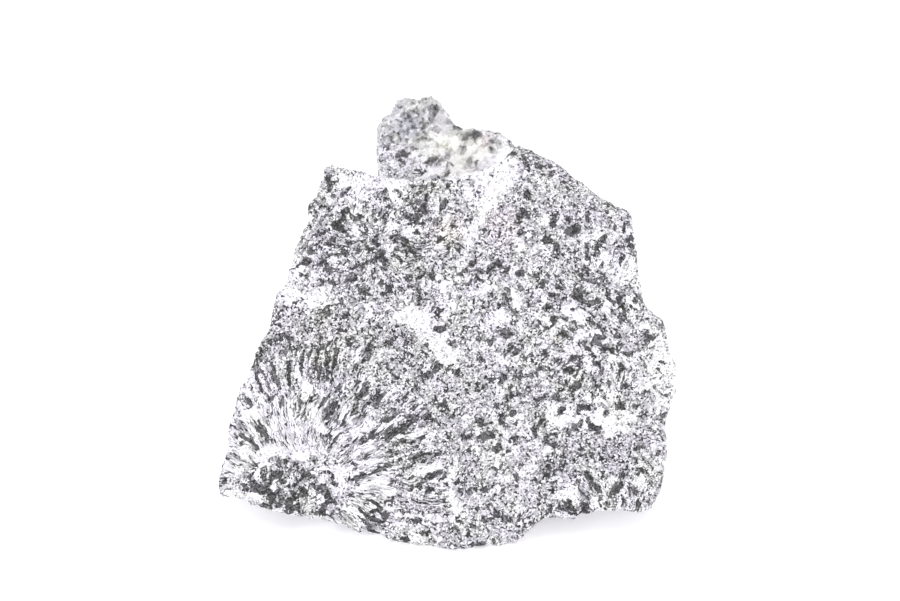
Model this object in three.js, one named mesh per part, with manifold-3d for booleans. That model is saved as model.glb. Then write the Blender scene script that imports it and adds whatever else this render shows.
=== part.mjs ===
// A hand specimen of orbicular granite: one broken chunk of rock that rests on its underside.
// Its broad fractured face leans back, a curved lip crosses the top of that face, and behind
// the lip a scooped hollow rises to a knob at the back. Everything is one solid.
//
// Face frame, in millimetres: U runs right across the broad face, V runs up its slope and W
// runs into the rock. Part frame: +X right, +Y back, +Z up, origin under the middle of the box.
import * as THREE from "three";
import { ImprovedNoise } from "three/addons/math/ImprovedNoise.js";
import { mergeVertices } from "three/addons/utils/BufferGeometryUtils.js";
import Module from "manifold-3d";

const wasm = await Module();
wasm.setup();

// Driving dimensions
const LEAN = THREE.MathUtils.degToRad(42); // how far the broad face leans back from upright
const DRAFT = 0.13; // how much the sides close in, in mm for each mm of depth
const CELL = 2.85; // spacing of the grid that the surface is drawn on
const LOW = new THREE.Vector3(-60, -7, -5); // corners of that grid, before the part is centred
const HIGH = new THREE.Vector3(60, 108, 80);

const FLOOR_SNAP = 0.4; // points this near the floor are set on it, so the cut leaves no slivers

// The chunk's outline across the broad face, from the lower left corner round by the right and
// back along the lip.
const OUTLINE = [
  [-55.4, 19], [-54.6, 14.4], [-51.2, 11.8], [-42, 10], [-30.2, 7.9], [-23.1, 5.6], [-13, 2.8],
  [-4, 1.4], [7.8, 0], [14.6, -0.4], [19, 3.6], [23.3, 6.4], [29.3, 7], [36.4, 7.4], [45, 8.6],
  [49.5, 9.6], [52.2, 12], [53.4, 17], [52.9, 24], [53.2, 31], [56.2, 38.4], [56.6, 43],
  [53.8, 49.5], [52.8, 55.5], [48.2, 63], [47, 69.6], [46.4, 76.9], [45.6, 82], [40, 85.4],
  [34.8, 89.6], [27.5, 95], [22.5, 97.4], [17, 100], [15.3, 97.7], [13.6, 94.5], [9.2, 92.7],
  [5.6, 91.5], [-1.7, 90.6], [-11.4, 90.3], [-18.1, 90.8], [-25.6, 92], [-28.6, 93.6],
  [-30, 93.6], [-31.2, 89.1], [-31.8, 85], [-35.6, 76.9], [-39.4, 68.4], [-39.8, 64],
  [-44.2, 52.6], [-51.7, 31],
];
// The wall behind the lip and the knob that it rises to, round from its lower left.
const WALL_OUTLINE = [
  [-17.8, 60], [-18.2, 94], [-18.4, 105.4], [-18.6, 112.4], [-17, 116], [-11.6, 117.2],
  [-5, 116.8], [-2.6, 114], [-1.8, 111], [1.8, 107], [4.4, 104.4], [8, 104.6], [11, 103.6],
  [13.4, 101.8], [16, 100.4], [24, 92], [24, 60],
];

// Fractures: a point on each plane and the way that its outside faces, in U, V, W.
const FACE_PLANES = [
  { at: [-15, 45, 0], out: [-0.06, 0, -1] }, // left part of the broad face
  { at: [25, 45, 0], out: [0.08, 0.02, -1] }, // right part, meeting it in a low ridge
  { at: [20, 93, 1.5], out: [0.5, 0.9, -1.2] }, // bevel along the upper right edge
  { at: [-54, 20, 1.6], out: [-1, -0.1, -0.75] }, // sliver of side face at the lower left
  { at: [19, 2.4, 0.8], out: [0.14, -0.6, -0.9] }, // chip at the right of the lowest point
];
const WALL_PLANES = [
  { at: [-8, 95, 18], out: [-0.15, 0.25, -1] }, // front of the knob and of the wall beside it
  { at: [-8, 112, 32], out: [0.1, 0.7, 1] }, // back of the knob
];
// The same in X, Y, Z of the leaning rock, before it is centred.
const BODY_PLANES = [
  { at: [0, 97, 45], out: [0.08, 1, 0.14] }, // back
  { at: [0, 95, 20], out: [-0.1, 0.75, -0.66] }, // foot of the back
  { at: [-36, 84, 24], out: [-0.85, 1, 0.2] }, // back left corner
  { at: [44, 78, 24], out: [0.9, 1, 0.3] }, // back right corner
  { at: [52, 60, 8], out: [1, 0.2, -1] }, // undercut below the right side
  { at: [-50, 44, 5], out: [-0.4, 0, -1] }, // undercut below the left side
  { at: [-13, 1, 1.2], out: [-0.214, -0.206, -1] }, // below the front edge, up to the left corner
  { at: [0, 0, -0.7], out: [0, 0, -1] }, // underside, which the floor then levels in places
];

// Scoops taken out by curved fractures: ellipsoids, centre and radii in U, V, W.
const SCOOPS = [
  { at: [-16, 95, 11], radii: [32, 13, 8.5] }, // hollow behind the lip, open to the left
  { at: [66, 62, 14], radii: [18, 9, 16] }, // right edge
  { at: [-58, 58, 40], radii: [26, 20, 17] }, // left side
  { at: [42, 108, 36], radii: [24, 18, 17] }, // shoulder behind the upper right edge
  { at: [-42, 94, 50], radii: [22, 14, 20] }, // shoulder left of the knob
  { at: [10, 60, 84], radii: [28, 22, 15] }, // back
];
// The same in X, Y, Z.
const FOOT_SCOOPS = [
  { at: [42, 4, -2], radii: [20, 22, 8] }, // below the lower right corner
];

// Relief of the broken surface: swells that bend it, and blocks of crystals that stand in or out.
const SWELLS = [
  { wavelength: 34, reach: 1.8 },
  { wavelength: 13, reach: 1.1 },
];
const BLOCKS = [
  { size: 15, step: 1.3 },
  { size: 7, step: 0.9 },
];
const BLOCK_SHARPNESS = 1.5; // how fast one block gives way to the next, for each mm
const NOISE_OFFSETS = [11.3, 47.9, 83.1]; // separates the noise of the three directions
const noise = new ImprovedNoise();

// Turns U, V, W into X, Y, Z of the leaning rock. The matrix is its own inverse's transpose.
const leaning = new THREE.Matrix4().makeBasis(
  new THREE.Vector3(1, 0, 0),
  new THREE.Vector3(0, Math.sin(LEAN), Math.cos(LEAN)),
  new THREE.Vector3(0, Math.cos(LEAN), -Math.sin(LEAN)),
);
const upright = leaning.clone().invert();

function plane({ at, out }) {
  const normal = new THREE.Vector3(...out).normalize();
  return new THREE.Plane().setFromNormalAndCoplanarPoint(normal, new THREE.Vector3(...at));
}
function ellipsoid({ at, radii }) {
  return { centre: new THREE.Vector3(...at), radii: new THREE.Vector3(...radii) };
}
const outline = OUTLINE.map(([u, v]) => new THREE.Vector2(u, v));
const wallOutline = WALL_OUTLINE.map(([u, v]) => new THREE.Vector2(u, v));
const facePlanes = FACE_PLANES.map(plane);
const wallPlanes = WALL_PLANES.map(plane);
const bodyPlanes = BODY_PLANES.map(plane);
const scoops = SCOOPS.map(ellipsoid);
const footScoops = FOOT_SCOOPS.map(ellipsoid);

// Distance from a point of the face to an outline, negative inside it.
function outlineDistance(corners, u, v) {
  let nearest = Infinity;
  let inside = false;
  corners.forEach((a, i) => {
    const b = corners[(i + 1) % corners.length];
    const along = ((u - a.x) * (b.x - a.x) + (v - a.y) * (b.y - a.y)) / a.distanceToSquared(b);
    const t = THREE.MathUtils.clamp(along, 0, 1);
    nearest = Math.min(nearest, Math.hypot(u - a.x - t * (b.x - a.x), v - a.y - t * (b.y - a.y)));
    const crosses = a.y > v !== b.y > v && u < a.x + ((v - a.y) * (b.x - a.x)) / (b.y - a.y);
    if (crosses) inside = !inside;
  });
  return inside ? -nearest : nearest;
}

function ellipsoidDistance(point, { centre, radii }) {
  const from = point.clone().sub(centre);
  const scaled = from.clone().divide(radii);
  const reach = scaled.length();
  return (reach * (reach - 1)) / Math.max(scaled.divide(radii).length(), 1e-6);
}

// Distance to the rock as its large fractures left it, negative inside.
function brokenDistance(xyz) {
  const uvw = xyz.clone().applyMatrix4(upright);
  const bulk = Math.max(
    outlineDistance(outline, uvw.x, uvw.y) + DRAFT * Math.max(0, uvw.z),
    ...facePlanes.map((each) => each.distanceToPoint(uvw)),
  );
  const wall = Math.max(
    outlineDistance(wallOutline, uvw.x, uvw.y),
    ...wallPlanes.map((each) => each.distanceToPoint(uvw)),
  );
  return Math.max(
    Math.min(bulk, wall),
    ...bodyPlanes.map((each) => each.distanceToPoint(xyz)),
    ...scoops.map((each) => -ellipsoidDistance(uvw, each)),
    ...footScoops.map((each) => -ellipsoidDistance(xyz, each)),
  );
}

// A number from 0 to 1 that is fixed for each cell of a grid.
function cellValue(i, j, k) {
  const mixed = Math.sin(i * 127.1 + j * 311.7 + k * 74.7) * 43758.5453;
  return mixed - Math.floor(mixed);
}

// The random number of the block that a point lies in. Blocks are the regions nearest to one
// jittered point of each grid cell, and each gives way to the next over about a millimetre.
function blockValue(point, size) {
  const cell = point.clone().divideScalar(size).floor();
  let sum = 0;
  let weights = 0;
  for (let n = 0; n < 27; n++) {
    const i = cell.x + (n % 3) - 1;
    const j = cell.y + (Math.floor(n / 3) % 3) - 1;
    const k = cell.z + Math.floor(n / 9) - 1;
    const seed = new THREE.Vector3(
      i + cellValue(i, j, k), j + cellValue(j, k, i), k + cellValue(k, i, j)).multiplyScalar(size);
    const weight = Math.exp(-BLOCK_SHARPNESS * seed.distanceTo(point));
    sum += weight * cellValue(i + 5, j + 9, k + 13);
    weights += weight;
  }
  return sum / weights;
}

// Distance to the finished surface, apart from the floor that it rests on.
function rockDistance(xyz) {
  const bent = xyz.clone();
  for (const { wavelength, reach } of SWELLS) {
    const [x, y, z] = xyz.clone().divideScalar(wavelength).toArray();
    const shift = NOISE_OFFSETS.map((offset) => reach * noise.noise(x + offset, y - offset, z + offset));
    bent.add(new THREE.Vector3(...shift));
  }
  const steps = BLOCKS.map(({ size, step }) => step * (blockValue(xyz, size) - 0.5));
  return brokenDistance(bent) + steps.reduce((sum, each) => sum + each, 0);
}

// The surface where a distance is zero, as one mesh: a vertex in each grid cell that the surface
// passes through, set where the planes that it meets there cross, so that edges stay sharp.
function isosurface(distance, low, high, size) {
  const counts = high.clone().sub(low).divideScalar(size).ceil().addScalar(1);
  const strides = [1, counts.x, counts.x * counts.y];
  const total = counts.x * counts.y * counts.z;
  const place = (n) =>
    new THREE.Vector3(n % counts.x, Math.floor(n / counts.x) % counts.y, Math.floor(n / strides[2]))
      .multiplyScalar(size).add(low);
  const values = Float64Array.from({ length: total }, (_, n) => distance(place(n)));
  settle(values, strides);

  const crossings = []; // each grid edge that the surface crosses
  const inCell = new Map(); // the crossings on each cell's edges
  for (let n = 0; n < total; n++) {
    strides.forEach((stride, axis) => {
      const next = n + stride;
      if (next >= total || values[n] < 0 === values[next] < 0) return;
      const start = place(n);
      const point = start.clone().lerp(place(next), values[n] / (values[n] - values[next]));
      const normal = slope(distance, point);
      const [p, q] = [strides[(axis + 1) % 3], strides[(axis + 2) % 3]];
      const cells = [n, n - p, n - p - q, n - q];
      crossings.push(values[n] < 0 ? cells : cells.reverse());
      for (const cell of cells) {
        if (!inCell.has(cell)) inCell.set(cell, []);
        inCell.get(cell).push({ point, normal });
      }
    });
  }

  const points = [];
  const index = new Map();
  for (const [cell, found] of inCell) {
    index.set(cell, points.length);
    points.push(meeting(found, place(cell), size));
  }
  const triangles = crossings.flatMap((cells) => {
    const [a, b, c, d] = cells.map((cell) => index.get(cell));
    const short = points[a].distanceToSquared(points[c]) < points[b].distanceToSquared(points[d]);
    return short ? [a, b, c, a, c, d] : [a, b, d, b, c, d];
  });
  return { points, triangles };
}

// Wherever two opposite corners of a grid square are inside and the other two outside, takes one
// of those in, so that the surface never meets itself along an edge.
function settle(values, strides) {
  const barelyInside = -1e-3;
  const pairs = strides.map((stride, i) => [stride, strides[(i + 1) % 3]]);
  for (let changed = true; changed; ) {
    changed = false;
    for (let n = 0; n < values.length; n++) {
      for (const [p, q] of pairs) {
        const corners = [n, n + p, n + p + q, n + q];
        const [a, b, c, d] = corners.map((corner) => values[corner] < 0);
        if (corners[2] >= values.length || a !== c || b !== d || a === b) continue;
        values[corners[a ? 1 : 0]] = barelyInside;
        changed = true;
      }
    }
  }
}

function slope(distance, point) {
  const step = 0.05;
  const at = (x, y, z) => distance(new THREE.Vector3(x, y, z).multiplyScalar(step).add(point));
  return new THREE.Vector3(
    at(1, 0, 0) - at(-1, 0, 0), at(0, 1, 0) - at(0, -1, 0), at(0, 0, 1) - at(0, 0, -1)).normalize();
}

// The point of a cell that lies best on all the planes found there, drawn a little to their mean.
function meeting(found, corner, size) {
  const pull = 0.12;
  const mean = new THREE.Vector3();
  for (const { point } of found) mean.addScaledVector(point, 1 / found.length);
  const m = [pull, 0, 0, 0, pull, 0, 0, 0, pull];
  const right = new THREE.Vector3();
  for (const { point, normal } of found) {
    const n = normal.toArray();
    for (let i = 0; i < 9; i++) m[i] += n[i % 3] * n[Math.floor(i / 3)];
    right.addScaledVector(normal, normal.dot(point.clone().sub(mean)));
  }
  const offset = right.applyMatrix3(new THREE.Matrix3().set(...m).invert());
  const far = corner.clone().addScalar(size);
  return mean.add(offset).clamp(corner, far);
}

// A closed mesh as a manifold-3d solid, and back.
function solid(points, triangles) {
  const vertProperties = new Float32Array(points.flatMap((point) => point.toArray()));
  const triVerts = new Uint32Array(triangles);
  return new wasm.Manifold(new wasm.Mesh({ numProp: 3, vertProperties, triVerts }));
}

function solidOf(geometry) {
  const bare = geometry.clone();
  bare.deleteAttribute("normal");
  bare.deleteAttribute("uv");
  const merged = mergeVertices(bare);
  const places = merged.getAttribute("position");
  const points = Array.from({ length: places.count }, (_, i) => new THREE.Vector3().fromBufferAttribute(places, i));
  return solid(points, [...merged.index.array]);
}

function geometryOf(made) {
  const mesh = made.getMesh();
  const geometry = new THREE.BufferGeometry();
  geometry.setAttribute("position", new THREE.BufferAttribute(mesh.vertProperties, 3));
  geometry.setIndex(new THREE.BufferAttribute(mesh.triVerts, 1));
  return geometry;
}

const { points, triangles } = isosurface(rockDistance, LOW, HIGH, CELL);
for (const point of points) if (Math.abs(point.z) < FLOOR_SNAP) point.z = 0;
const below = new THREE.BoxGeometry(400, 400, 100).translate(0, 0, -50);
const rock = solid(points, triangles).subtract(solidOf(below));

const geometry = geometryOf(rock);
geometry.computeBoundingBox();
const box = geometry.boundingBox;
geometry.translate(-(box.min.x + box.max.x) / 2, -(box.min.y + box.max.y) / 2, -box.min.z);

const stone = new THREE.Mesh(
  geometry,
  new THREE.MeshStandardMaterial({ color: 0xb4b3b8, roughness: 0.62, metalness: 0 }),
);
stone.name = "orbicular_granite";

const specimen = new THREE.Group();
specimen.add(stone);
export default specimen;
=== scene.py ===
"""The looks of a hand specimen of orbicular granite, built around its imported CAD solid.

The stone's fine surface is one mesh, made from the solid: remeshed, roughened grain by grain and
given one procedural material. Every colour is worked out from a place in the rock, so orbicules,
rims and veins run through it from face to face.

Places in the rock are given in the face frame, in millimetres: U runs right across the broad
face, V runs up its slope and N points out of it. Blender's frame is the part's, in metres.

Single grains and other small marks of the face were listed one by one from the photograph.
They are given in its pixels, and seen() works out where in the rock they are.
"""

import math
from collections import namedtuple

import bpy
import numpy as np
from mathutils import Euler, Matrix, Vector, noise


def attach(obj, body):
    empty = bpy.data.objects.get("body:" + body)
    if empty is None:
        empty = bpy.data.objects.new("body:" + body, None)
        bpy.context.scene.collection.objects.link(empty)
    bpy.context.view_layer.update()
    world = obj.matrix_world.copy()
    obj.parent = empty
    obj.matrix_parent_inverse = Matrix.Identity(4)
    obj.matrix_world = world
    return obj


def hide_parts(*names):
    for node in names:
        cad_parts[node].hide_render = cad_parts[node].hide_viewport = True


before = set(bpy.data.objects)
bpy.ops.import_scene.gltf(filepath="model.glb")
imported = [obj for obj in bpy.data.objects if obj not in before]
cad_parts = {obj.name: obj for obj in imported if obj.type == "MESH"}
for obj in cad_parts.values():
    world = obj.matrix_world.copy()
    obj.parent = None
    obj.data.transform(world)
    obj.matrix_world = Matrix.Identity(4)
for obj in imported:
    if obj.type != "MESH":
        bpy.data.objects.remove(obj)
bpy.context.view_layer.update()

MM = 0.001

# The broad face: how far it leans back from upright, and where U, V and N are all zero.
LEAN = math.radians(42)
FACE_ORIGIN = Vector((-0.1, -49.4, 0.0))
FACE_TURN = Euler((LEAN - math.pi / 2, 0, 0))
FACE_AXES = np.array((
    (1, 0, 0), (0, math.sin(LEAN), math.cos(LEAN)), (0, -math.cos(LEAN), math.sin(LEAN)),
))

# The camera looks down on the stone from the front. The photograph's size is given in pixels.
CAMERA_DROP = math.radians(35)
CAMERA_DISTANCE = 600
CAMERA_AIM = Vector((0.4, -9.2, 44.3))
LENS = 100
SENSOR_WIDTH = 36
PICTURE_WIDTH = 900
PICTURE_HEIGHT = 601
SIGHT = np.array((0, math.cos(CAMERA_DROP), -math.sin(CAMERA_DROP)))
UPWARD = np.array((0, math.sin(CAMERA_DROP), math.cos(CAMERA_DROP)))

# The marks were read for this aim, taken from the face's origin: 0.4 mm off the camera's own.
READING_AIM = np.array((0.72, 39.9, 44.3))
PIXELS_PER_MM = 4.17


def seen(x, y, n=0):
    """The place in the rock that a pixel of the photograph shows, if it lies at this N."""
    focus = LENS / SENSOR_WIDTH * PICTURE_WIDTH
    right, up = (x - PICTURE_WIDTH / 2) / focus, (PICTURE_HEIGHT / 2 - y) / focus
    ray = FACE_AXES @ (SIGHT + (right, 0, 0) + up * UPWARD)
    eye = FACE_AXES @ (READING_AIM - SIGHT * CAMERA_DISTANCE)
    u, v, _ = eye + ray * (n - eye[2]) / ray[2]
    return round(float(u), 1), round(float(v), 1), n


# ----------
# What is where in the rock
# ----------

# Orbicules: the middle, how far from it each zone ends, and the share of dark crystals in the
# core. From the inside out the zones are the core, its halo, the radiating blades, the fine
# dark rim and the pale shell.
ORBICULES = [
    ((-36, 15.2, -2), (11.5, 14.5, 37, 44, 48), 0.3),  # lower left
    ((-17.5, 73, -1), (3, 3.2, 13, 14, 17), 0.22),  # upper left
    ((37, 55, -4), (16, 16.2, 17.5, 20, 21), 0.19),  # right
    ((40, 4.5, -3), (3, 3.2, 15.5, 23.5, 28), 0.22),  # lower right
    ((26, 88, -34), (6, 8, 17, 21, 24), 0.36),  # behind the right edge
    ((-30, 62, -44), (8, 10.5, 22, 27, 30), 0.36),  # left side
    ((20, 30, -52), (9, 11, 24, 29, 32), 0.36),  # back and underside
    ((50, 30, -38), (5, 7, 15, 19, 22), 0.36),  # right side
    ((-6, 84, -62), (6, 8, 18, 22, 25), 0.36),  # back
]

# How the rock looks from an orbicule's middle outwards: where along the zones, the shares of
# dark and of white crystals, and how strongly they stand apart. The core's dark share differs.
ZONE_LOOKS = [
    (0.0, 0.0, 0.26, 1.1), (0.9, 0.0, 0.26, 1.1), (1.3, 0.02, 0.72, 1.0), (1.7, 0.05, 0.62, 1.0),
    (2.15, 0.10, 0.35, 1.25), (2.6, 0.14, 0.25, 1.25), (3.0, 0.17, 0.15, 1.2),
    (3.1, 0.18, 0.10, 1.1), (3.9, 0.18, 0.10, 1.1), (4.2, 0.07, 0.18, 1.05),
    (4.8, 0.07, 0.18, 1.05), (5.0, 0.08, 0.16, 1.05),
]

# A stretch of rock between two points, with a radius at each. Its look is the shares of dark
# and of white crystals, and how strongly they stand apart.
Patch = namedtuple("Patch", "start end radii look", defaults=(None,))

# Where the rock differs from what its zone gives, and a few places of painted shade.
# Later patches lie over earlier ones.
PATCHES = [Patch(*row) for row in (
    # the white vein, from the upper edge down the face
    ((13, 91.5, 0), (9.5, 83.3, 0), (3.4, 1.6), (-0.4, 1.25, 0.8)),
    ((9.5, 83.3, 0), (5.6, 76, 0), (1.4, 0.8), (-0.3, 1.15, 0.9)),
    ((5.6, 76, 0), (3.8, 70.5, 0), (0.9, 0.5), (-0.2, 1.1, 1)),
    # pale places along the upper lip
    (seen(345, 179), seen(422, 182), (1.4, 2), (0.04, 0.8, 0.9)),
    ((-22.2, 88, 0), (-22, 84, 0), (3.4, 2.4), (0.06, 0.7, 1)),
    ((-12.5, 87.5, 0), (-11, 86, 0), (2.6, 2.2), (0.04, 0.85, 1)),
    ((-1, 90, -1), (12, 93, -1), (1.8, 3.5), (0, 1, 1)),
    ((-9, 87.8, 0), (-1.5, 87.5, 0), (1.6, 1.4), (0.2, 0.2, 1)),
    # white patches in the middle, at the left, at the right and towards the bottom
    ((-13, 56.5, 0), (-9, 56, 0), (1.6, 2.2), (0, 1, 0.8)),
    ((-7, 56, 0), (0, 47.5, 0), (2.4, 2.8), (-0.2, 1.1, 0.8)),
    ((-1.7, 64, 0), (0, 59, 0), (1.8, 1.6), (0.04, 0.6, 0.8)),
    ((-38.5, 61.5, 0), (-29.3, 60.3, 0), (2.2, 2), (0.03, 0.9, 0.8)),
    ((25, 31.5, 0), (35, 31.5, 0), (2, 2.4), (0.06, 0.8, 1.1)),
    ((38, 31, 0), (42, 31, 0), (3, 2), (0.04, 0.95, 0.9)),
    ((34, 14, 0), (45, 16, 0), (3, 4), (0.14, 0.42, 1)),
    (seen(556, 495), seen(578, 493), (1, 1), (0, 0.95, 0.8)),
    (seen(453, 457), seen(450, 507), (0.8, 0.8), (0.05, 0.65, 1)),
    (seen(607, 264), seen(640, 285), (2, 2), (0.06, 0.7, 1)),
    ((44, 41, 0), (50, 37, -2), (3, 3), (0.08, 0.45, 1)),
    ((-21, 15, 0), (-16, 16, 0), (1.8, 1.8), (0.04, 0.7, 1.1)),
    ((8, 26, 0), (17, 16, 0), (3, 3.5), (0.08, 0.36, 0.9)),
    ((0, 14, 0), (3, 8, 0), (2.6, 2.4), (0.1, 0.5, 1)),
    # round the core at the lower left
    ((-48, 42, 0), (-49, 33, 0), (2.4, 2.4), (0.06, 0.8, 1.2)),
    ((-44, 37, 0), (-38, 30, 0), (3, 3), (0.08, 0.6, 1.1)),
    ((-52, 24, 0), (-34, 23.2, 0), (1.5, 1.5), (-0.1, 1.05, 0.9)),
    ((-28, 21, 0), (-22, 17, 0), (1.6, 2), (0.02, 0.85, 1)),
    ((-27, 8.9, 0), (-24, 7.5, 0), (1.2, 1.4), (0.55, -0.3, 0.6)),
    # dark places
    ((-29, 78, 0), (-9, 72, 0), (4, 5), (0.28, 0.16, 1)),
    ((-24, 66, 0), (-6, 66, 0), (3, 3.5), (0.24, 0.16, 1)),
    ((-9, 83, 0), (-5.5, 80, 0), (2.4, 2.4), (0.36, 0.16, 0.9)),
    ((20, 95, 0), (30, 90, 0), (2, 1.6), (0.42, 0.1, 0.9)),
    ((45, 77, 0), (45, 73, 0), (2, 2), (0.4, 0.15, 1)),
    ((-45, 45, 0), (-31.6, 43.4, 0), (2.4, 3.4), (0.34, 0.15, 1)),
    ((-20.8, 37.5, 0), (-20.4, 34, 0), (2.6, 2.4), (0.36, 0.2, 1)),
    ((-16, 28, 0), (-8, 30, 0), (2.4, 2), (0.3, 0.3, 1.2)),
    ((26, 66, 0), (40, 60, 0), (3.5, 3.5), (0.28, 0.16, 1)),
    (seen(350, 488), seen(372, 506), (2.2, 2.4), (0.3, 0.3, 1.2)),
    (seen(395, 508), seen(412, 512), (1.8, 1.8), (0.46, 0.2, 1.1)),
    (seen(395, 262), seen(415, 300), (2.4, 2.4), (0.28, 0.14, 1)),
    (seen(515, 350), seen(535, 362), (1.8, 1.8), (0.3, 0.2, 1)),
    (seen(615, 332), seen(640, 346), (1.8, 1.8), (0.3, 0.16, 1)),
    (seen(575, 373), seen(600, 382), (2, 2), (0.28, 0.12, 1)),
    (seen(497, 284), seen(536, 274), (2.4, 2.4), (0.05, 0.4, 1)),
    (seen(318, 186), seen(308, 212), (1.7, 1.7), (0.38, 0.1, 1)),
    # painted shade: darker along the left edge, low on the face
    ((-49.8, 25.6, 0), (-50.8, 20.6, 0), (1.6, 1.6), (0.34, 0.15, 1)),
    # pale places on the edges
    ((-51.9, 30, -3), (-51.6, 27.6, -3), (1.5, 1.5), (0.05, 0.8, 1)),
    ((-37.3, 69, -4), (-37.6, 66, -4), (1.8, 1.8), (0.02, 0.9, 0.9)),
    ((52.5, 45, -5), (52.3, 36.5, -5), (3.2, 3), (0.02, 0.85, 1)),
    ((50.5, 50, -4), (49, 49.5, -2), (1.8, 1.6), (0.04, 0.8, 1)),
    # the knob, and the hollow between it and the lip
    ((-14, 108, -21), (-2, 102, -21), (7, 4), (0.14, 0.26, 0.9)),
    ((-14, 98, -20), (-6, 97, -20), (4, 4), (0.04, 0.5, 0.8)),
    ((-9.5, 110, -21), (-8, 106, -21), (2.6, 3), (0.32, 0.1, 1)),
    ((-15, 104, -21), (-8, 104, -21), (1.4, 1.8), (0.36, 0.12, 1)),
    ((-5.6, 113.2, -21), (-3.6, 112.6, -21), (1.2, 1.2), (0.4, 0.05, 1)),
    ((-15.4, 106.5, -21), (-14.5, 102.7, -21), (1.8, 2), (0.24, 0.15, 1)),
    ((-12, 110.5, -21), (-9, 111.5, -21), (0.8, 0.8), (0, 0.8, 0.8)),
    ((-12, 98.6, -20), (-11, 99.2, -20), (1.1, 1.1), (0.9, 0, 0.9)),
    ((-9.5, 100.6, -20), (-9, 100.8, -20), (0.8, 0.8), (0.8, 0, 0.9)),
    ((-3, 105, -20), (0, 102, -21), (1.8, 1.8), (0, 0.85, 0.7)),
    ((-4, 96, -20), (13, 99, -18), (4, 4.5), (0.06, 0.95, 0.7)),
    # painted shade: the dark gap along the ridge where the lip meets the hollow
    (seen(499, 157, -3), seen(510, 153, -3), (1, 1), (0.8, 0, 0.9)),
    ((4.5, 104.6, -19), (8.5, 104.8, -19), (1.2, 1.2), (0.04, 0.7, 0.8)),
    ((12.2, 104.8, -19), (12.8, 105, -19), (0.8, 0.8), (1.1, -0.2, 0.8)),
    (seen(449, 151, -19), seen(468, 138, -19), (1, 1.2), (0.42, 0.1, 0.6)),
    (seen(473, 144, -19), seen(476, 133, -19), (0.7, 0.8), (0.6, 0, 0.7)),
    (seen(489, 151, -18), seen(491, 142, -18), (0.7, 0.7), (0.6, 0, 0.7)),
    # painted shade: a dark band under the knob, at the hollow's foot just behind the lip
    (seen(443, 169, -17), seen(452, 163, -17), (0.7, 0.8), (0.5, 0.1, 0.7)),
    (seen(434, 161, -18), seen(446, 157, -18), (0.7, 0.7), (0.4, 0.1, 0.7)),
    (seen(462, 160, -18), seen(474, 152, -18), (0.6, 0.6), (0.35, 0.2, 0.7)),
    (seen(405, 171, -18), seen(422, 170, -18), (0.5, 0.7), (0.75, 0, 0.7)),
    (seen(427, 163, -18), seen(436, 157, -18), (0.6, 0.7), (0.65, 0, 0.7)),
    (seen(455, 124, -20), seen(460, 125, -20), (0.5, 0.6), (0.9, 0, 0.7)),
    (seen(430, 100, -21), seen(436, 108, -21), (0.8, 0.8), (0.3, 0.15, 1)),
    (seen(424, 128, -21), seen(434, 118, -21), (1, 1.2), (0.4, 0.2, 1)),
)]
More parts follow.
